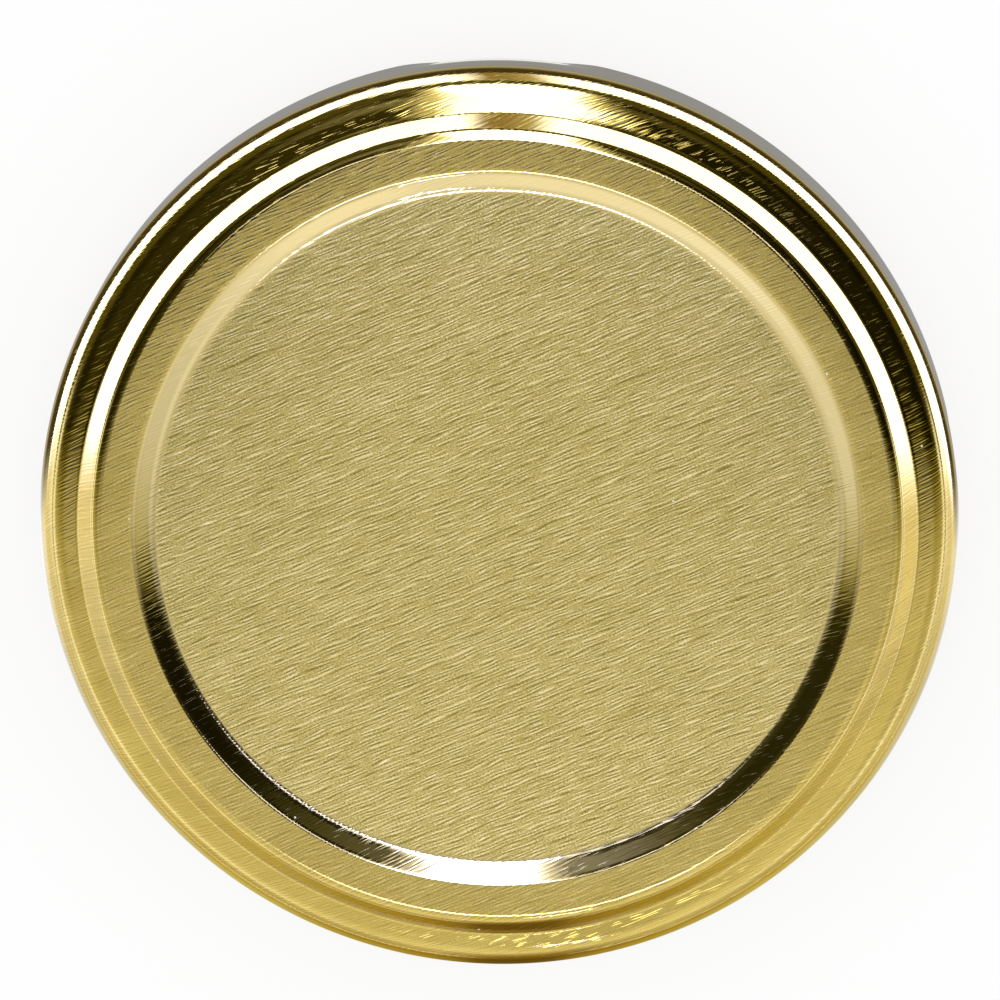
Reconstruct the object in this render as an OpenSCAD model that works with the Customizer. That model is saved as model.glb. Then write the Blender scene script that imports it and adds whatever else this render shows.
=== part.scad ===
// Twist-off jar lid, pressed from lacquered tinplate, with a flowed-in sealing ring.
// The lid lies rim down: the origin is the centre of the rolled rim's underside, +Z up.

/* [Lid] */
// Outside diameter of the skirt
lid_d = 69.6; // [60:0.1:90]
// Height from the rolled rim up to the raised land
lid_h = 10; // [9:0.1:14]
// Thickness of the tinplate
sheet_t = 0.18; // [0.14:0.01:0.24]

/* [Crown] */
// Outside radius of the shoulder between the skirt and the ledge
shoulder_r = 2.6; // [1.6:0.1:2.7]
// Distance from the skirt's outside in to the foot of the land
ledge_w = 3.2; // [3:0.05:4.5]
// Slope of the ledge, falling outwards, in degrees
ledge_slope = 10; // [0:1:14]
// Rise from the foot on the ledge to the land
land_rise = 1.5; // [1.1:0.05:1.7]
// Slope of the rise to the land, in degrees
land_slope = 48; // [38:1:55]
// Radius of the land's outer edge
land_edge_r = 0.85; // [0.5:0.05:1.4]
// Width of the land, from edge to edge
land_w = 2.85; // [2.2:0.05:5]
// Depth of the centre panel below the land
panel_depth = 0.75; // [0.4:0.05:1.1]
// Slope of the step down to the panel, in degrees
panel_slope = 28; // [20:1:40]
// Radius of the crease where the step meets the panel
step_foot_r = 1.8; // [0.6:0.1:2.4]
// Radius of the land's inner edge, at the top of the step
step_top_r = 1.2; // [0.4:0.1:1.6]
// Radius of the crease at the land's foot, on the ledge
land_foot_r = 0.4; // [0.3:0.05:0.6]

/* [Rolled rim] */
// Outside diameter of the curl
curl_d = 1.9; // [1.5:0.05:2.3]
// Angle that the sheet is rolled through, in degrees
curl_turn = 300; // [270:5:315]

/* [Lugs] */
// Number of lugs pressed into the curl
lug_count = 4; // [3:1:6]
// Distance from the skirt's outside in to a lug's nose
lug_reach = 3.35; // [2.8:0.05:4]
// Height of a lug
lug_h = 1.4; // [1.2:0.05:1.6]
// Angle that a lug keeps its full reach over, in degrees
lug_turn = 14; // [8:1:20]
// Angle of the run-out at each side of a lug, in degrees
lug_runout = 6; // [4:0.5:9]
// Depth of the dent that a lug leaves in the skirt
dent_depth = 0.27; // [0.1:0.01:0.4]
// Height that the dent fades out at
dent_h = 4; // [3:0.1:4.5]

/* [Sealing ring] */
// Thickness of the compound under the ledge
seal_t = 0.35; // [0.2:0.05:0.5]
// How far the compound reaches in past the land's inner edge
seal_lap = 0.2; // [0:0.05:0.6]
// Radius of the compound's inner edge
seal_edge_r = 0.4; // [0.2:0.05:0.5]

/* [Hidden] */
$fn = 180;

gold = "#d2b05e";
cream = "#e6dfcc";

// Radii and heights of the crown's corners, on the outside of the sheet.
skirt_r = lid_d / 2;
foot_r = skirt_r - ledge_w;
land_out_r = foot_r - land_rise / tan(land_slope);
land_in_r = land_out_r - land_w;
panel_r = land_in_r - panel_depth / tan(panel_slope);
foot_z = lid_h - land_rise;
panel_z = lid_h - panel_depth;
shoulder_z = foot_z - ledge_w * tan(ledge_slope);
degrees_a_facet = 7.5;

// The arcs at both ends of the step share its slope, and tighten together where it is short.
step_len = panel_depth / sin(panel_slope);
arcs_len = (step_foot_r + step_top_r) * tan(panel_slope / 2);
tighten = min(1, 0.95 * step_len / arcs_len);

// The crown ends above the dents, and the rim takes over below. A tongue on the rim,
// a little thinner than the sheet, reaches up inside the crown's wall and joins the two.
join_z = dent_h + 0.4;
tongue_h = 0.4;
tongue_inset = sheet_t / 5;

// The rim is swept from sections: steps in one section, then sections along a lug and
// along the plain curl between two lugs.
degrees_a_curl_step = 22.5;
dent_steps = 3;
lug_steps = 14;
plain_steps = 14;
lug_squareness = 0.7;
lug_pitch = 360 / lug_count;
lug_zone = lug_turn + 2 * lug_runout;

function unit(v) = v / norm(v);
function left_of(v) = [-v.y, v.x];
function turned(v, angle) = [v.x * cos(angle) - v.y * sin(angle), v.x * sin(angle) + v.y * cos(angle)];
function mix(from, to, share) = from + (to - from) * share;
function ease(share) = let(s = max(0, min(1, share))) s * s * (3 - 2 * s);
function signed_power(v, power) = sign(v) * pow(abs(v), power);
function reverse(list) = [for (i = [len(list) - 1 : -1 : 0]) list[i]];

// The arc that rounds the corner of a path from before over here to after.
function rounded_corner(before, here, after, radius) =
    let(
        along = unit(here - before),
        away = unit(after - here),
        turn = atan2(cross(along, away), along * away),
        start = here - along * radius * tan(abs(turn) / 2),
        centre = start + left_of(along) * radius * sign(turn),
        steps = ceil(abs(turn) / degrees_a_facet)
    )
    [for (k = [0 : steps]) centre + turned(start - centre, turn * k / steps)];

// A path through corners, with a radius for each corner between its two ends.
function rounded_path(corners, radii) =
    let(last = len(corners) - 1)
    [
        corners[0],
        for (i = [1 : last - 1]) each rounded_corner(corners[i - 1], corners[i], corners[i + 1], radii[i - 1]),
        corners[last]
    ];

// The path that runs to the right of another one, at a distance.
function beside(path, distance) =
    let(last = len(path) - 1)
    [for (i = [0 : last])
        let(
            before = unit(path[max(i, 1)] - path[max(i, 1) - 1]),
            after = unit(path[min(i, last - 1) + 1] - path[min(i, last - 1)]),
            middle = unit(before + after)
        )
        path[i] - left_of(middle) * distance / (middle * after)];

// The crown's sheet, from the axis out over the panel, land, ledge and shoulder, as [radius, z].
crown_outside = rounded_path(
    [
        [0, panel_z],
        [panel_r, panel_z],
        [land_in_r, lid_h],
        [land_out_r, lid_h],
        [foot_r, foot_z],
        [skirt_r, shoulder_z],
        [skirt_r, join_z]
    ],
    [step_foot_r * tighten, step_top_r * tighten, land_edge_r, land_foot_r, shoulder_r]
);
crown_inside = beside(crown_outside, sheet_t);

// How much of a lug there is at an angle from a lug's middle: 1 on the lug, 0 on the plain curl.
function lug_share(offset) =
    let(away = min(abs(offset), lug_pitch - abs(offset)))
    ease(1 - (away - lug_turn / 2) / lug_runout);

// The outside of the rim's sheet: down the skirt, past the dent and round the curl.
function rim_outside(share) =
    let(
        dent = dent_depth * share,
        half_w = mix(curl_d, lug_reach - dent_depth, share) / 2,
        half_h = mix(curl_d, lug_h, share) / 2,
        power = mix(1, lug_squareness, share)
    )
    [
        [skirt_r, join_z - 2 * tongue_inset],
        for (i = [0 : dent_steps - 1])
            let(down = i / dent_steps)
            [skirt_r - dent * ease(down), mix(dent_h, half_h, down)],
        for (turn = [each [0 : degrees_a_curl_step : curl_turn - 1], curl_turn])
            [
                skirt_r - dent - half_w + half_w * signed_power(cos(turn), power),
                half_h - half_h * signed_power(sin(turn), power)
            ]
    ];

// The closed section of the rim's sheet, with the tongue at its top.
function rim_section(share) =
    let(outside = rim_outside(share))
    [
        [skirt_r - tongue_inset, join_z + tongue_h],
        [skirt_r - tongue_inset, join_z - tongue_inset],
        each outside,
        each reverse(beside(outside, sheet_t)),
        [skirt_r - sheet_t + tongue_inset, join_z - tongue_inset],
        [skirt_r - sheet_t + tongue_inset, join_z + tongue_h]
    ];

module crown() {
    rotate_extrude() polygon([each crown_outside, each reverse(crown_inside)]);
}

// The skirt's lower band with the dents, the rolled curl and the lugs.
module rim() {
    offsets = [
        for (i = [0 : lug_steps - 1]) lug_zone * (i / lug_steps - 0.5),
        for (i = [0 : plain_steps - 1]) lug_zone / 2 + (lug_pitch - lug_zone) * i / plain_steps
    ];
    sections = [for (offset = offsets) rim_section(lug_share(offset))];
    around = lug_count * len(offsets);
    along = len(sections[0]);
    polyhedron(
        points = [
            for (lug = [0 : lug_count - 1], i = [0 : len(offsets) - 1], p = sections[i])
                let(angle = lug * lug_pitch + offsets[i])
                [p.x * cos(angle), p.x * sin(angle), p.y]
        ],
        faces = [
            for (i = [0 : around - 1], j = [0 : along - 1])
                let(
                    here = i * along,
                    next = (i + 1) % around * along,
                    k = (j + 1) % along
                )
                each [[here + j, next + k, here + k], [here + j, next + j, next + k]]
        ]
    );
}

module lid_shell() {
    color(gold) union() {
        crown();
        rim();
    }
}

// The compound fills the channel under the land and coats the underside of the ledge.
module sealing_ring() {
    inner_r = land_in_r - seal_lap;
    fall = tan(ledge_slope);
    foot_under_z = foot_z - sheet_t / cos(ledge_slope) - seal_t;
    color(cream) rotate_extrude() intersection() {
        polygon([each crown_inside, [0, join_z]]);
        polygon([
            each rounded_path(
                [
                    [inner_r, lid_h],
                    [inner_r, foot_under_z + (foot_r - inner_r) * fall],
                    [skirt_r, foot_under_z + (foot_r - skirt_r) * fall]
                ],
                [seal_edge_r]
            ),
            [skirt_r, lid_h]
        ]);
    }
}

lid_shell();
sealing_ring();
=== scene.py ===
import math

import bpy
from mathutils import Matrix, Vector


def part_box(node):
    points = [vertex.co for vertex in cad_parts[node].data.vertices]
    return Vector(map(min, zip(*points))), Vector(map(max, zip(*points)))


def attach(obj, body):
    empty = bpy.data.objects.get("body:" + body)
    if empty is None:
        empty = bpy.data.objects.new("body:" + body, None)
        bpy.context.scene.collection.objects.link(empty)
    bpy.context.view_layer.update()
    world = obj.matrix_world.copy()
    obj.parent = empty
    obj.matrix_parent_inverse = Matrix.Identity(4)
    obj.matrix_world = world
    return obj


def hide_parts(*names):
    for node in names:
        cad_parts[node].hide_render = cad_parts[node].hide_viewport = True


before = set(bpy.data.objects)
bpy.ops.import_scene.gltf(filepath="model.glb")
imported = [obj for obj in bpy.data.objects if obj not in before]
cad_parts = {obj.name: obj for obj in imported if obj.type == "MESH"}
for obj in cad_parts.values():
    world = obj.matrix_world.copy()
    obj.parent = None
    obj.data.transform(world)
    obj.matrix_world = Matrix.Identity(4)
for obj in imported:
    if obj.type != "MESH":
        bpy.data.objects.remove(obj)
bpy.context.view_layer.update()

# ---------------------------------------------------------------------------
# Lid shell
# One disc of tinplate, lacquered gold, pressed into a recessed panel, a raised
# land, a ledge and a skirt. The skirt's edge is rolled inwards into a curl, and
# four lugs are crushed into the curl to catch a jar's thread.
# ---------------------------------------------------------------------------
MM = 0.001
_, shell_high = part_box("lid_shell")
skirt_r = shell_high.x
lid_h = shell_high.z
sheet_t = 0.18 * MM

# The crown's folds. The land is a touch wider here than on the plain solid, and its edges
# are rounder, within 0.1 mm of it.
shoulder_r = 2.6 * MM
ledge_w = 3.1 * MM
ledge_slope = math.radians(10)
land_foot_r = 0.7 * MM
land_rise = 1.5 * MM
land_slope = math.radians(48)
land_edge_r = 1.25 * MM
land_w = 2.95 * MM
panel_depth = 0.75 * MM
panel_slope = math.radians(28)
step_top_r = 1.2 * MM
step_foot_r = 1.8 * MM

curl_d = 1.9 * MM
curl_turn = math.radians(300)
lug_count = 4
lug_reach = 3.35 * MM
lug_h = 1.4 * MM
lug_turn = math.radians(14)
lug_runout = math.radians(6)
lug_squareness = 0.7
dent_depth = 0.27 * MM
dent_h = 4 * MM
seam_weld = 0.0005 * MM

foot_r = skirt_r - ledge_w
land_out_r = foot_r - land_rise / math.tan(land_slope)
land_in_r = land_out_r - land_w
panel_r = land_in_r - panel_depth / math.tan(panel_slope)
foot_z = lid_h - land_rise
panel_z = lid_h - panel_depth
shoulder_z = foot_z - ledge_w * math.tan(ledge_slope)


def mix(start, end, share):
    return start + (end - start) * share


def ease(share):
    share = max(0.0, min(1.0, share))
    return share * share * (3 - 2 * share)


def signed_power(value, power):
    return math.copysign(abs(value) ** power, value)


def rounded_path(corners, radii, arc_step):
    """A path of (r, z) points through corners, with an arc at each corner between its ends."""
    path = [Vector(corners[0])]
    for i, radius in enumerate(radii, start=1):
        before, here, after = (Vector(c) for c in corners[i - 1 : i + 2])
        along = (here - before).normalized()
        away = (after - here).normalized()
        turn = math.atan2(along.cross(away), along.dot(away))
        start = here - along * radius * math.tan(abs(turn) / 2)
        centre = start + Vector((-along.y, along.x)) * math.copysign(radius, turn)
        steps = math.ceil(abs(turn) / arc_step)
        for k in range(steps + 1):
            path.append(centre + Matrix.Rotation(turn * k / steps, 2) @ (start - centre))
    path.append(Vector(corners[-1]))
    return path


def with_flat_ends(path, margin, longest):
    """The path with a point close to both ends of each long straight, so that the shading of
    a flat stretch doesn't bend towards the arcs beside it."""
    full = [path[0]]
    for start, end in zip(path, path[1:]):
        length = (end - start).length
        if length > longest:
            along = (end - start) / length
            full += [start + along * margin, (start + end) / 2, end - along * margin]
        full.append(end)
    return full


def beside(path, distance):
    """The path that runs to the right of another one."""
    moved = []
    for i, point in enumerate(path):
        before = (point - path[i - 1]) if i else (path[1] - point)
        after = (path[i + 1] - point) if i < len(path) - 1 else before
        before, after = before.normalized(), after.normalized()
        middle = (before + after).normalized()
        moved.append(point - Vector((-middle.y, middle.x)) * distance / middle.dot(after))
    return moved


def shell_outside(share):
    """The outside of the sheet from the axis to the end of the curl. Share is 1 on a lug and
    0 on the plain curl."""
    crown = rounded_path(
        [
            (0, panel_z),
            (panel_r, panel_z),
            (land_in_r, lid_h),
            (land_out_r, lid_h),
            (foot_r, foot_z),
            (skirt_r, shoulder_z),
            (skirt_r, dent_h),
        ],
        [step_foot_r, step_top_r, land_edge_r, land_foot_r, shoulder_r],
        arc_step=math.radians(4),
    )
    dent = dent_depth * share
    half_w = mix(curl_d, lug_reach - dent_depth, share) / 2
    half_h = mix(curl_d, lug_h, share) / 2
    power = mix(1, lug_squareness, share)
    dent_steps, curl_steps = 8, 36
    wall = [
        Vector((skirt_r - dent * ease(i / dent_steps), mix(dent_h, half_h, i / dent_steps)))
        for i in range(1, dent_steps)
    ]
    curl = [
        Vector(
            (
                skirt_r - dent - half_w + half_w * signed_power(math.cos(turn), power),
                half_h - half_h * signed_power(math.sin(turn), power),
            )
        )
        for turn in (curl_turn * i / curl_steps for i in range(curl_steps + 1))
    ]
    return with_flat_ends(crown, margin=0.03 * MM, longest=0.5 * MM) + wall + curl


def lug_share(angle):
    return ease(1 - (abs(angle) - lug_turn / 2) / lug_runout)


def one_pitch():
    """The sheet from halfway before a lug to halfway after it, outside and inside."""
    pitch = 2 * math.pi / lug_count
    lug_half = lug_turn / 2 + lug_runout
    lug_steps, plain_steps = 14, 22
    half = [lug_half * i / lug_steps for i in range(lug_steps)]
    half += [mix(lug_half, pitch / 2, i / plain_steps) for i in range(plain_steps + 1)]
    angles = [-a for a in reversed(half[1:])] + half
    vertices, faces = [], []
    for angle in angles:
        outside = shell_outside(lug_share(angle))
        section = outside + beside(outside, sheet_t)[::-1]
        vertices += [(p.x * math.cos(angle), p.x * math.sin(angle), p.y) for p in section]
    along = len(section)
    for i in range(len(angles) - 1):
        for j in range(along - 1):
            here, there = i * along + j, (i + 1) * along + j
            faces.append((here, here + 1, there + 1, there))
    mesh = bpy.data.meshes.new("one_pitch")
    mesh.from_pydata(vertices, [], faces)
    return mesh


def repeat_round_axis(mesh, count, material, name):
    """Geometry Nodes set copies of the mesh round the Z axis and weld their edges."""
    tree = bpy.data.node_groups.new(name + "_repeat", "GeometryNodeTree")
    sockets = tree.interface
    sockets.new_socket("Pitch", in_out="INPUT", socket_type="NodeSocketGeometry")
    count_in = sockets.new_socket("Lug count", in_out="INPUT", socket_type="NodeSocketInt")
    weld_in = sockets.new_socket("Weld distance", in_out="INPUT", socket_type="NodeSocketFloat")
    sockets.new_socket("Shell", in_out="OUTPUT", socket_type="NodeSocketGeometry")
    node = tree.nodes.new
    link = tree.links.new
    given, result = node("NodeGroupInput"), node("NodeGroupOutput")
    points, index = node("GeometryNodePoints"), node("GeometryNodeInputIndex")
    turn, each_turn = node("ShaderNodeMath"), node("ShaderNodeMath")
    each_turn.operation = "DIVIDE"
    each_turn.inputs[0].default_value = 2 * math.pi
    turn.operation = "MULTIPLY"
    angle = node("ShaderNodeCombineXYZ")
    copies, real = node("GeometryNodeInstanceOnPoints"), node("GeometryNodeRealizeInstances")
    weld, smooth = node("GeometryNodeMergeByDistance"), node("GeometryNodeSetShadeSmooth")
    painted = node("GeometryNodeSetMaterial")
    painted.inputs["Material"].default_value = material
    link(given.outputs["Lug count"], points.inputs["Count"])
    link(given.outputs["Lug count"], each_turn.inputs[1])
    link(index.outputs[0], turn.inputs[0])
    link(each_turn.outputs[0], turn.inputs[1])
    link(turn.outputs[0], angle.inputs["Z"])
    link(points.outputs[0], copies.inputs["Points"])
    link(given.outputs["Pitch"], copies.inputs["Instance"])
    link(angle.outputs[0], copies.inputs["Rotation"])
    link(copies.outputs[0], real.inputs[0])
    link(real.outputs[0], weld.inputs["Geometry"])
    link(given.outputs["Weld distance"], weld.inputs["Distance"])
    link(weld.outputs[0], smooth.inputs["Geometry"])
    link(smooth.outputs[0], painted.inputs["Geometry"])
    link(painted.outputs[0], result.inputs[0])

    source = bpy.data.objects.new(name + "_source", mesh)
    bpy.context.scene.collection.objects.link(source)
    repeat = source.modifiers.new("Repeat", "NODES")
    repeat.node_group = tree
    repeat[count_in.identifier] = count
    repeat[weld_in.identifier] = seam_weld
    evaluated = source.evaluated_get(bpy.context.evaluated_depsgraph_get())
    whole = bpy.data.meshes.new_from_object(evaluated)
    bpy.data.objects.remove(source)
    whole.name = name
    piece = bpy.data.objects.new(name, whole)
    bpy.context.scene.collection.objects.link(piece)
    return piece


class Finish:
    """A material under construction. Each step adds a shader node and gives its output, and
    takes sockets or plain values."""

    def __init__(self, name):
        self.material = bpy.data.materials.new(name)
        self.material.use_nodes = True
        self.nodes = self.material.node_tree.nodes
        self.links = self.material.node_tree.links
        self.shader = self.nodes["Principled BSDF"]
        self.output = self.nodes["Material Output"]

    def fill(self, sockets, values):
        for socket, value in zip(sockets, values):
            if isinstance(value, bpy.types.NodeSocket):
                self.links.new(value, socket)
            elif value is not None:
                socket.default_value = value

    def set(self, **inputs):
        """Set or link inputs of the shader, with _ for the spaces in their names."""
        for name, value in inputs.items():
            self.fill([self.shader.inputs[name.replace("_", " ")]], [value])

    def step(self, kind, values=(), **settings):
        node = self.nodes.new(kind)
        for name, value in settings.items():
            setattr(node, name, value)
        self.fill(node.inputs, values)
        return node

    def object_place(self):
        return self.step("ShaderNodeTexCoord").outputs["Object"]

    def number(self, operation, *values):
        return self.step("ShaderNodeMath", values, operation=operation).outputs[0]

    def vector(self, operation, *values):
        return self.step("ShaderNodeVectorMath", values, operation=operation).outputs["Vector"]

    def length(self, vector):
        return self.step("ShaderNodeVectorMath", [vector], operation="LENGTH").outputs["Value"]

    def parts(self, vector):
        return self.step("ShaderNodeSeparateXYZ", [vector]).outputs

    def between(self, value, low, high, to_low=0.0, to_high=1.0):
        return self.step("ShaderNodeMapRange", (value, low, high, to_low, to_high)).outputs[0]

    def blend(self, share, start, end):
        node = self.step("ShaderNodeMix", data_type="RGBA")
        self.fill([node.inputs[name] for name in ("Factor", "A", "B")], (share, start, end))
        return node.outputs["Result"]

    def colour_steps(self, value, stops):
        ramp_node = self.step("ShaderNodeValToRGB", [value])
        elements, stops = ramp_node.color_ramp.elements, list(stops)
        while len(elements) < len(stops):
            elements.new(1.0)
        for element, (position, colour) in zip(elements, stops):
            element.position = position
            element.color = (*colour, 1)
        return ramp_node.outputs[0]

    def noise(self, place, size=1.0, detail=0.0, dimensions="3D"):
        """Noise with cells of a size, in metres unless the place is scaled already."""
        node = self.step("ShaderNodeTexNoise", noise_dimensions=dimensions)
        names = ("Vector", "Scale", "Detail")
        self.fill([node.inputs[name] for name in names], (place, 1 / size, detail))
        return node.outputs

    def nearest_spot(self, place, spacing):
        """The distance to the nearest of some strewn spots, as a share of their spacing."""
        node = self.step("ShaderNodeTexVoronoi")
        self.fill([node.inputs["Vector"], node.inputs["Scale"]], (place, 1 / spacing))
        return node.outputs["Distance"]

    def relief(self, height, strength, distance):
        node = self.step("ShaderNodeBump")
        names = ("Height", "Strength", "Distance")
        self.fill([node.inputs[name] for name in names], (height, strength, distance))
        self.set(Normal=node.outputs[0])


def gold_lacquer():
    """Tinplate under clear gold lacquer. The steel's rolled grain runs straight across the
    blank in short fine streaks. The panel keeps it, and the dies iron it flat in the rings
    round the panel, where the stretched lacquer is thinner and glossier."""
    gold = Finish("gold_lacquered_tinplate")
    gold.set(Coat_Weight=1.0, Coat_Roughness=0.03)
    grain_angle = math.radians(23)
    grain_sway, sway_length = 0.12 * MM, 5 * MM
    ridge_pitch, ridge_relief, ridge_wander = 0.27 * MM, 0.0030 * MM, 6.5
    short_weight, grain_contrast, blotch_contrast = 2.3, 0.36, 0.20
    panel_roughness, ring_roughness, scratch_roughness = 0.16, 0.045, 0.24

    # Where each point lay in the flat blank, before the skirt was drawn down.
    place = gold.object_place()
    flat = gold.vector("MULTIPLY", place, (1, 1, 0))
    radius = gold.length(flat)
    drawn = gold.number("MAXIMUM", gold.number("SUBTRACT", foot_z, gold.parts(place)["Z"]), 0.0)
    drawn_share = gold.number("DIVIDE", drawn, gold.number("MAXIMUM", radius, MM))
    stretch = gold.number("ADD", drawn_share, 1.0)
    blank = gold.vector("SCALE", flat, None, None, stretch)
    turned = gold.step("ShaderNodeMapping", [blank], vector_type="TEXTURE")
    turned.inputs["Rotation"].default_value = (0, 0, grain_angle)
    along_grain = turned.outputs[0]
    waves = gold.noise(along_grain, sway_length, detail=1.0, dimensions="2D")["Color"]
    wavy = gold.vector("MULTIPLY_ADD", waves, (0, grain_sway, 0), along_grain)

    def streaks(length, width, detail=0.0):
        """Noise stretched along the grain, with its cells' sizes in metres."""
        cells = gold.vector("MULTIPLY", wavy, (1 / length, 1 / width, 0))
        return gold.noise(cells, detail=detail, dimensions="2D")["Fac"]

    # Ridges lie across the grain at a pitch, and noise shifts them, so that each one is short.
    phase = gold.number("MULTIPLY", streaks(length=2.7 * MM, width=0.48 * MM), ridge_wander)
    turns = gold.number("MULTIPLY_ADD", gold.parts(wavy)["Y"], 2 * math.pi / ridge_pitch, phase)
    depth = gold.between(streaks(length=1.3 * MM, width=0.27 * MM), 0.30, 0.70, 0.05, 1.4)
    ridges = gold.number("MULTIPLY", gold.number("SINE", turns), depth)
    short = gold.number("SUBTRACT", streaks(length=0.15 * MM, width=0.07 * MM), 0.5)
    grain = gold.number("MULTIPLY_ADD", short, short_weight, ridges)

    def by_radius(stops):
        """Shares that change with the distance from the axis."""
        share = gold.number("DIVIDE", radius, skirt_r)
        return gold.colour_steps(share, [(r / skirt_r, shares) for r, shares in stops])

    # Red is how much grain is left, green how pale and thin the lacquer is, and blue how
    # satin it is.
    zones = [
        (panel_r - 0.5 * MM, (1.00, 0.0, 1.00)),
        (panel_r + 0.1 * MM, (0.20, 1.0, 0.20)),
        (land_in_r - 0.3 * MM, (0.20, 1.0, 0.20)),
        (land_in_r + 0.2 * MM, (0.55, 0.0, 0.35)),
        (land_out_r - 0.4 * MM, (0.55, 0.0, 0.30)),
        (land_out_r, (0.30, 0.0, 0.00)),
        (skirt_r, (0.30, 0.0, 0.00)),
    ]
    zone_shares = gold.step("ShaderNodeSeparateColor", [by_radius(zones)])
    grain_left, paleness, satin = zone_shares.outputs[:3]

    # The ironed rings mirror sharply, so there the ridges' tilt tears a reflection's ends.
    tilts = [
        (panel_r - 0.6 * MM, 0.15),
        (panel_r + 0.3 * MM, 0.70),
        (land_in_r - 0.4 * MM, 0.60),
        (land_in_r + 0.1 * MM, 0.20),
        (land_out_r - 0.5 * MM, 0.20),
        (land_out_r - 0.1 * MM, 0.40),
        (foot_r + 0.1 * MM, 0.50),
        (foot_r + 0.4 * MM, 0.80),
        (skirt_r - 2.0 * MM, 0.80),
        (skirt_r - 1.2 * MM, 0.35),
    ]
    tilt = by_radius([(r, (share,) * 3) for r, share in tilts])
    gold.relief(gold.number("MULTIPLY", ridges, tilt), strength=1.0, distance=ridge_relief)

    blotches = streaks(length=9 * MM, width=2.5 * MM, detail=2.0)
    blotch = gold.number("MULTIPLY_ADD", blotches, blotch_contrast, -blotch_contrast / 2)
    streak = gold.number("MULTIPLY", grain, grain_left)
    shade = gold.number("ADD", gold.number("MULTIPLY_ADD", streak, grain_contrast, 0.5), blotch)
    panel_shades = [(0.205, 0.145, 0.000), (0.463, 0.363, 0.083), (0.81, 0.67, 0.31)]
    ring_shades = [(0.19, 0.115, 0.004), (0.430, 0.310, 0.040), (0.72, 0.56, 0.18)]
    pale_gold, dust_colour = (0.560, 0.450, 0.195, 1), (0.80, 0.78, 0.62, 1)
    panel_gold = gold.colour_steps(shade, zip((0.0, 0.5, 1.0), panel_shades))
    ring_gold = gold.colour_steps(shade, zip((0.0, 0.5, 1.0), ring_shades))
    colour = gold.blend(paleness, gold.blend(satin, ring_gold, panel_gold), pale_gold)

    # Fine scratches along the grain scatter the light, and so does a little settled dust.
    scratches = gold.between(streaks(length=1.6 * MM, width=0.09 * MM, detail=1.0), 0.66, 0.78)
    gloss = gold.between(satin, 0.0, 1.0, ring_roughness, panel_roughness)
    rough = gold.number("MULTIPLY_ADD", scratches, scratch_roughness, gloss)
    dust = gold.between(gold.nearest_spot(place, 4.5 * MM), 0.018, 0.026, 0.75, 0.0)
    gold.set(
        Base_Color=gold.blend(dust, colour, dust_colour),
        Metallic=gold.number("SUBTRACT", 1.0, dust),
        Roughness=gold.number("MAXIMUM", rough, dust),
    )
    return gold.material


shell = repeat_round_axis(one_pitch(), lug_count, gold_lacquer(), "lid_shell_pressed")
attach(shell, "root")
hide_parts("lid_shell")

# ---------------------------------------------------------------------------
# Sealing ring
# Plastic compound, flowed wet into the channel under the land and baked there.
# It is satin and off-white, and it coats the underside of the ledge too.
# ---------------------------------------------------------------------------


def compound():
    """Baked plastisol. It levelled while the lid was spun, so that its faint ripples run
    round the ring, and it holds pinholes and cloudy patches."""
    seal = Finish("sealing_compound")
    place = seal.object_place()
    x, y, z = seal.parts(place)[:3]
    turn = seal.number("ARCTAN2", y, x)
    radius = seal.length(seal.vector("MULTIPLY", place, (1, 1, 0)))
    round_ring = seal.step("ShaderNodeCombineXYZ", (turn, radius, z)).outputs[0]
    ripples_a_radian, ripple_w = 9, 0.35 * MM
    cells = seal.vector("MULTIPLY", round_ring, (ripples_a_radian, 1 / ripple_w, 1 / ripple_w))
    ripples = seal.noise(cells, detail=2.0)["Fac"]
    clouds = seal.noise(place, 3.5 * MM, detail=3.0)["Fac"]
    grit = seal.noise(place, 0.12 * MM, detail=2.0)["Fac"]
    pinhole = seal.between(seal.nearest_spot(place, 1.6 * MM), 0.04, 0.10, 1.0, 0.0)

    cream = seal.colour_steps(clouds, [(0.30, (0.64, 0.57, 0.45)), (0.72, (0.76, 0.71, 0.60))])
    hole_colour = (0.36, 0.31, 0.23, 1)
    seal.set(
        Base_Color=seal.blend(pinhole, cream, hole_colour),
        Roughness=seal.between(grit, 0.3, 0.7, 0.38, 0.56),
        Subsurface_Weight=0.08,
        Subsurface_Scale=0.5 * MM,
    )
    level = seal.number("SUBTRACT", seal.between(ripples, 0.0, 1.0, 0.0, 0.6), pinhole)
    seal.relief(level, strength=0.6, distance=0.03 * MM)
    return seal.material


seal_material = compound()
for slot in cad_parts["sealing_ring"].material_slots:
    slot.material = seal_material

# ---------------------------------------------------------------------------
# Table
# A plain white sheet of paper that lies flat under the lid. Even white light falls
# on both from all round.
# ---------------------------------------------------------------------------
world = bpy.data.worlds.new("white_room")
world.use_nodes = True
world.node_tree.nodes["Background"].inputs["Color"].default_value = (1, 1, 1, 1)
world.node_tree.nodes["Background"].inputs["Strength"].default_value = 1.0
bpy.context.scene.world = world


def stage_mesh(name, vertices, faces, material):
    mesh = bpy.data.meshes.new(name)
    mesh.from_pydata(vertices, [], faces)
    mesh.materials.append(material)
    piece = bpy.data.objects.new(name, mesh)
    bpy.context.scene.collection.objects.link(piece)
    return piece


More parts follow.
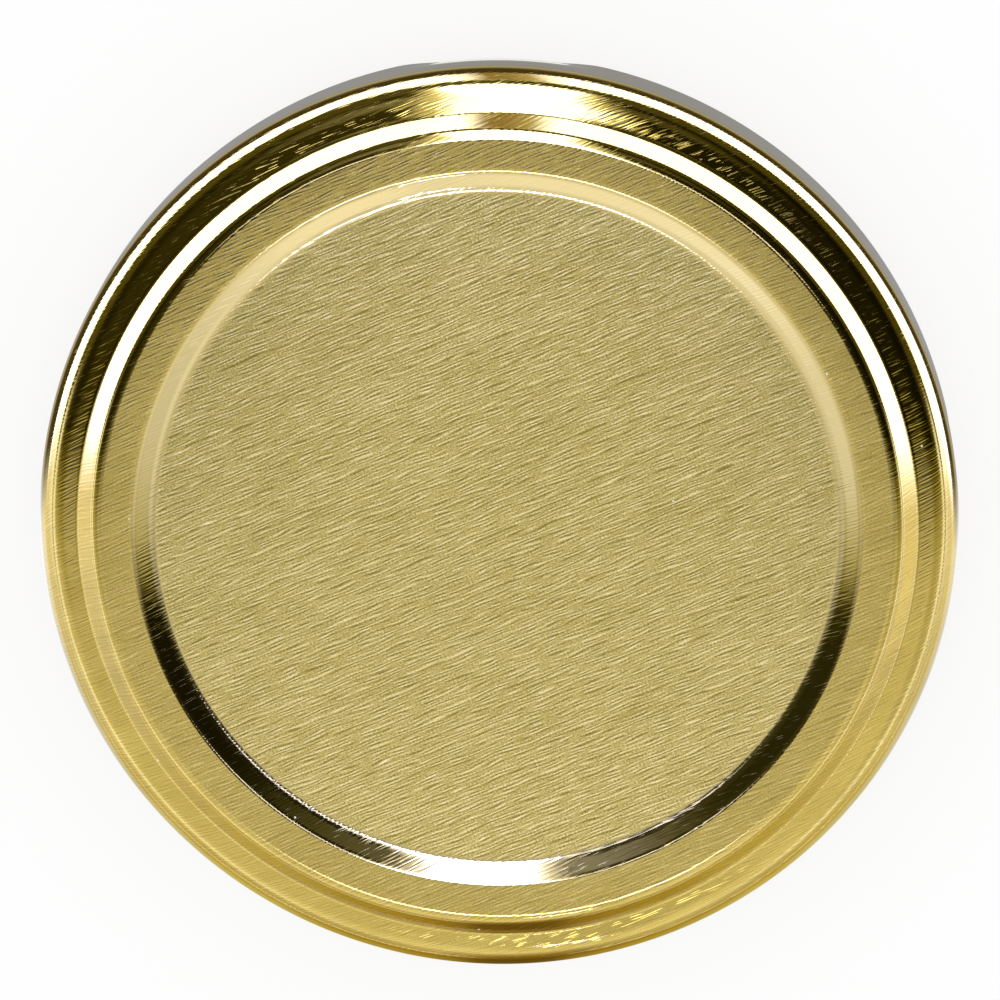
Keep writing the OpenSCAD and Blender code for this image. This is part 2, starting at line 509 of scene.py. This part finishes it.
def white_sheet():
    """White paper. It looks mostly lit from within, so its shadows stay light."""
    sheet = Finish("white_sheet")
    sheet.nodes.remove(sheet.shader)
    paper = sheet.step("ShaderNodeBsdfDiffuse", [(0.98, 0.98, 0.98, 1)]).outputs[0]
    light = sheet.step("ShaderNodeEmission", [(1, 1, 1, 1)]).outputs[0]
    ray = sheet.step("ShaderNodeLightPath").outputs
    mirrored = sheet.number("ADD", ray["Is Glossy Ray"], ray["Is Transmission Ray"])
    seen = sheet.number("ADD", ray["Is Camera Ray"], mirrored)
    glow_share = sheet.number("MULTIPLY", seen, 0.8)
    both = sheet.step("ShaderNodeMixShader", (glow_share, paper, light)).outputs[0]
    sheet.links.new(both, sheet.output.inputs["Surface"])
    return sheet.material


table_half = 3.0
stage_mesh(
    "table",
    [(x * table_half, y * table_half, 0) for x, y in ((-1, -1), (1, -1), (1, 1), (-1, 1))],
    [(0, 1, 2, 3)],
    white_sheet(),
)

# ---------------------------------------------------------------------------
# Light tent
# Boards and soft boxes round the lid that show only in its metal: a black half
# roof with a strip light in it, a bright wall round the far side, and the table
# that mirrors them, with painted shade and a painted gold glow round the lid's foot.
# ---------------------------------------------------------------------------


def tent_light():
    """Light as strong as the piece's glow attribute. Light that has left a matt surface meets
    plain white instead, so that the boards cast no glow on the table."""
    tent = Finish("tent_light")
    tent.nodes.remove(tent.shader)
    glow = tent.step("ShaderNodeAttribute", attribute_name="glow").outputs["Color"]
    ray = tent.step("ShaderNodeLightPath").outputs
    after_matt = tent.number("GREATER_THAN", ray["Diffuse Depth"], 0.5)
    colour = tent.blend(after_matt, glow, (1, 1, 1, 1))
    light = tent.step("ShaderNodeEmission", [colour]).outputs[0]
    tent.links.new(light, tent.output.inputs["Surface"])
    return tent.material


tent_material = tent_light()


def tent_piece(name, across, along, place, glow):
    """A sheet over a grid. Place gives a point, and glow its colour, from two grid values."""
    vertices = [place(u, v) for u in across for v in along]
    rows = len(along)
    faces = [
        (i * rows + j, (i + 1) * rows + j, (i + 1) * rows + j + 1, i * rows + j + 1)
        for i in range(len(across) - 1)
        for j in range(rows - 1)
    ]
    piece = stage_mesh(name, vertices, faces, tent_material)
    colours = piece.data.color_attributes.new("glow", "FLOAT_COLOR", "POINT")
    for point, (u, v) in zip(colours.data, ((u, v) for u in across for v in along)):
        point.color = (*glow(u, v), 1)
    piece.visible_camera = False
    piece.visible_diffuse = False
    piece.visible_shadow = False
    piece.visible_transmission = False
    piece.visible_volume_scatter = False
    return piece


def steps(start, end, count):
    return [mix(start, end, i / count) for i in range(count + 1)]


def ramp(value, start, end):
    """0 before start and 1 after end, with a soft change between."""
    return ease((value - start) / (end - start))


def blend_glow(start, end, share):
    return tuple(Vector(start).lerp(Vector(end), share))


def degrees_between(azimuth, other):
    return abs((azimuth - other + 180) % 360 - 180)


# The lacquer takes most of the blue, so the lights that should look white are bluish.
white_hot, lamp_hot = Vector((4.4, 5.0, 11.0)), Vector((5.6, 5.9, 10.5))

# The roof is black over the far half, and fades to white over the near half. A round white
# window lies where the flat panel mirrors it.
roof_z, roof_half = 0.40, 1.5
window_x, window_y = -0.0155, -0.086


def roof_glow(x, y):
    near, out = -y, math.hypot(x, y)
    aside = ramp(abs(x), 0.20, 0.35)

    # The black cloth is darker to the right and aside, and greyer far out.
    black = mix(0.06, 0.022, ramp(x, -0.08, 0.08)) * mix(1.0, 0.55, aside)
    black += 0.12 * ramp(out, 0.50, 0.70)

    # It turns white soon over the lid and later at the sides.
    late = mix(0.8, 1.0, ramp(near, 0.12, 0.32)) * ramp(near, 0.020, 0.140)
    white = mix(ramp(near, 0.030, 0.110), late, aside)
    window = 1 - ramp(math.hypot(x - window_x, y - window_y), 0.052, 0.062)

    # The near half brightens further out, most of all on the left, and on the right in a
    # patch. The far half has a haze of light, mostly on the left.
    beyond = mix(0.25, 0.08, ramp(x, -0.10, 0.06)) * ramp(near, 0.12, 0.24)
    beyond += 0.25 * ramp(near, 0.40, 0.60)
    beyond += 0.26 * ramp(x, 0.08, 0.14) * (1 - ramp(x, 0.25, 0.40)) * ramp(near, 0.09, 0.17)
    haze = (0.36 if x < 0 else 0.15) * (1 - ramp(abs(x), 0.09, 0.31))
    haze *= ramp(y, 0.15, 0.24) * (1 - ramp(y, 0.37, 0.45))
    level = mix(black, 1.0, max(white, window)) + beyond + haze

    # What is dim or lies aside is warm, and a bright band stands far out on the near side.
    warmth = 0.8 * max(aside, 1 - ramp(level, 0.05, 0.30)) * max(0.0, 1 - level) ** 0.5
    roof = Vector((level, level * (1 - 0.1 * warmth), level * (1 - warmth)))
    band = ramp(out, 0.74, 0.98) * (1 - ramp(out, 1.1, 1.3)) * (1 - ramp(y, 0.0, 0.15))
    band_colour = blend_glow((1.6, 1.6, 1.6), (2.1, 2.25, 3.6), ramp(abs(x), 0.2, 0.7))
    return blend_glow(roof, band_colour, band)


outskirts = [0.4, 0.5, 0.6, 0.7, 0.8, 0.95, 1.1, 1.3, roof_half]
roof_across = [-value for value in reversed(outskirts)]
roof_across += steps(-0.34, -0.20, 6) + steps(-0.18, -0.08, 5) + steps(-0.075, 0.045, 24)[:-1]
roof_across += steps(0.045, 0.20, 7) + steps(0.22, 0.34, 5) + outskirts
roof_along = [-value for value in reversed(outskirts)] + [-0.32]
roof_along += steps(-0.24, -0.16, 8) + steps(-0.155, 0.005, 32)
roof_along += steps(0.15, 0.47, 16) + [0.53, 0.6, 0.7, roof_half]
tent_piece("tent_roof", roof_across, roof_along, lambda x, y: (x, y, roof_z), roof_glow)

# The strip light hangs under the black half, and leans down towards its wider far end. It is
# brightest along its middle.
strip_start, strip_end = Vector((-0.004, -0.012, 0.395)), Vector((0, 0.390, 0.182))
strip_glow = {1: (6.0, 6.8, 14.0), 2: (1.75, 1.75, 1.9), 3: (0.06, 0.05, 0.02)}
strip_spread = {1: 0.0, 2: 0.4, 3: 1.0}


def strip_place(side, down):
    """A point on the strip. Side counts its lines from 1 at the bright core to 3 at the edge,
    and is negative on the left."""
    core = mix(0.024, 0.072, ramp(down, 0.35, 1.05))
    edge = mix(0.040, 0.075, ramp(down, 0.1, 0.6)) + 0.027 * ramp(down, 0.6, 1.0)
    aside = math.copysign(mix(core, edge, strip_spread[abs(side)]), side)
    return strip_start.lerp(strip_end, down) + Vector((aside, 0, 0))


tent_piece(
    "tent_strip_light",
    [-3, -2, -1, 1, 2, 3],
    steps(0, 1, 20),
    strip_place,
    lambda side, down: blend_glow(
        (0.04, 0.04, 0.02),
        strip_glow[abs(side)],
        ramp(down, 0.0, 0.05) * (1 - ramp(down, 0.90, 1.0)),
    ),
)

# A slim light crosses over the lid, and two soft boxes hang on the near side. They show as
# fine lines along the creases.
tent_piece(
    "tent_cross_light",
    [-0.13, -0.095, 0.095, 0.13],
    [0.010, 0.044],
    lambda x, y: (x, y, 0.397),
    lambda x, y: tuple(lamp_hot * 0.45) if abs(x) < 0.1 else (0.06, 0.05, 0.01),
)
tent_piece(
    "tent_bar_light",
    [-0.090, -0.048, 0.036, 0.072],
    [-0.228, -0.220, -0.172, -0.164],
    lambda x, y: (x, y, 0.364),
    lambda x, y: blend_glow(
        (1.15, 1.15, 1.10), lamp_hot, (0.9 if abs(x) < 0.05 else 0.12) * (-0.225 < y < -0.168)
    ),
)
tent_piece(
    "tent_glint_light",
    [0.006, 0.060],
    [-0.46, -0.40],
    lambda x, y: (x, y, 0.37),
    lambda x, y: tuple(lamp_hot * 1.2),
)

# The wall stands round the lid: white-hot on the far side, with a soft brown gap at its
# middle, and on the near side warm to white, with a brown post at its middle.
wall_distance, near_wall_h, far_wall_h = 0.45, 0.105, 0.096
near_white = Vector((1.15, 1.12, 1.00))


def far_share(azimuth):
    return 1 - ramp(degrees_between(azimuth, 89), 84, 97)


def post_share(azimuth):
    return 1 - ramp(degrees_between(azimuth, 271.5), 3, 10)


# By degrees away from the middle of the near side.
near_tones = [
    (9, (0.66, 0.52, 0.13)),
    (18, (0.80, 0.70, 0.24)),
    (33, (1.04, 1.02, 0.62)),
    (48, (1.18, 1.22, 1.40)),
    (62, (1.28, 1.42, 2.40)),
    (90, (1.95, 2.20, 4.40)),
]


def near_tone(azimuth):
    """The near side is a warm dusk right before the lid, and grows paler towards both sides."""
    away = degrees_between(azimuth, 271)
    tone = near_tones[0][1]
    for (start, _), (end, next_tone) in zip(near_tones, near_tones[1:]):
        tone = blend_glow(tone, next_tone, ramp(away, start, end))
    return Vector(tone)


def side_tone(azimuth):
    return Vector([max(1.0, value) for value in near_tone(azimuth)])


def wall_glow(azimuth, share):
    far = blend_glow(
        white_hot,
        blend_glow((0.95, 0.86, 0.75), (0.58, 0.45, 0.30), ramp(azimuth, 86, 92)),
        ramp(azimuth, 81, 87) * (1 - ramp(azimuth, 93, 99)),
    )
    near = blend_glow(
        blend_glow((0.95, 0.87, 0.60), near_white, share),
        blend_glow((0.45, 0.31, 0.05), (0.98, 0.90, 0.68), share),
        post_share(azimuth),
    )
    return blend_glow(Vector(near) * side_tone(azimuth), far, far_share(azimuth))


tent_piece(
    "tent_wall",
    steps(-90, 80, 85) + steps(81, 101, 20) + steps(103, 270, 84),
    steps(0.0, 1.0, 3),
    lambda azimuth, top: (
        wall_distance * math.cos(math.radians(azimuth)),
        wall_distance * math.sin(math.radians(azimuth)),
        top * mix(near_wall_h, far_wall_h, far_share(azimuth)),
    ),
    wall_glow,
)


# The table close round the lid, as painted light and shade: a painted grey shadow along its
# foot and a painted dark round, and past them what the wall would throw on a glossy table.
def table_glow(azimuth, distance):
    x, y = distance * math.cos(math.radians(azimuth)), distance * math.sin(math.radians(azimuth))
    painted_foot_shadow = blend_glow((0.34, 0.34, 0.34), (0.65, 0.60, 0.42), ramp(distance, 0.0365, 0.038))
    painted_dark_round = blend_glow(painted_foot_shadow, (0.11, 0.09, 0.04), ramp(distance, 0.0385, 0.042))
    dark_round_edge = ramp(math.hypot(x + 0.005, y), 0.053, 0.058)
    far = blend_glow(painted_dark_round, wall_glow(azimuth, 0.0), dark_round_edge)

    # Painted light and shade on the near side: darker by the lid's foot, then glowing gold,
    # with a painted bright line round it and the post's painted dark mark.
    shade = mix(0.66, 0.95, ramp(distance, 0.037, 0.047)) * Vector((1.0, 0.90, 0.50))
    gold_glow = blend_glow(shade, (0.87, 0.77, 0.41), ramp(distance, 0.048, 0.055))
    gold_glow = Vector(gold_glow) * near_tone(azimuth)
    bright_line = ramp(distance, 0.070, 0.085) * (1 - ramp(distance, 0.10, 0.15))
    plain = blend_glow(gold_glow, (1.6, 1.55, 1.4), bright_line)
    far_off = Vector((0.95, 0.87, 0.60)) * side_tone(azimuth)
    plain = blend_glow(plain, far_off, ramp(distance, 0.10, 0.20))
    painted_post_mark = blend_glow((0.20, 0.125, 0.02), (0.42, 0.29, 0.04), ramp(distance, 0.038, 0.10))
    near = blend_glow(plain, painted_post_mark, post_share(azimuth))
    return blend_glow(near, far, far_share(azimuth))


glow_above_table = 0.3 * MM
tent_piece(
    "tent_table",
    steps(0, 360, 120),
    steps(0.0346, 0.0646, 30) + steps(0.07, 0.1, 6) + [0.12, 0.15, 0.2, 0.3, wall_distance],
    lambda azimuth, distance: (
        distance * math.cos(math.radians(azimuth)),
        distance * math.sin(math.radians(azimuth)),
        glow_above_table,
    ),
    table_glow,
)

# ---------------------------------------------------------------------------
# Camera
# It looks down on the lid through a long lens, and leans a little to the far side,
# so that a sliver of the skirt shows there.
# ---------------------------------------------------------------------------
camera_azimuth, camera_from_zenith = math.radians(79.7), math.radians(12.37)
camera_distance = 0.5
toward = Vector(
    (
        math.sin(camera_from_zenith) * math.cos(camera_azimuth),
        math.sin(camera_from_zenith) * math.sin(camera_azimuth),
        math.cos(camera_from_zenith),
    )
)
upward = (Vector((0, 1, 0)) - toward * toward.y).normalized()
rightward = upward.cross(toward)
camera_data = bpy.data.cameras.new("camera")
camera_data.lens = 239.6
camera_data.sensor_width = 36
camera = bpy.data.objects.new("camera", camera_data)
aim = Vector((0, 0, lid_h)) + rightward * 0.29 * MM + upward * 2.42 * MM
turn = Matrix((rightward, upward, toward)).transposed().to_4x4()
camera.matrix_world = Matrix.Translation(aim + toward * camera_distance) @ turn
bpy.context.scene.collection.objects.link(camera)
bpy.context.scene.camera = camera
bpy.context.scene.view_settings.view_transform = "Standard"
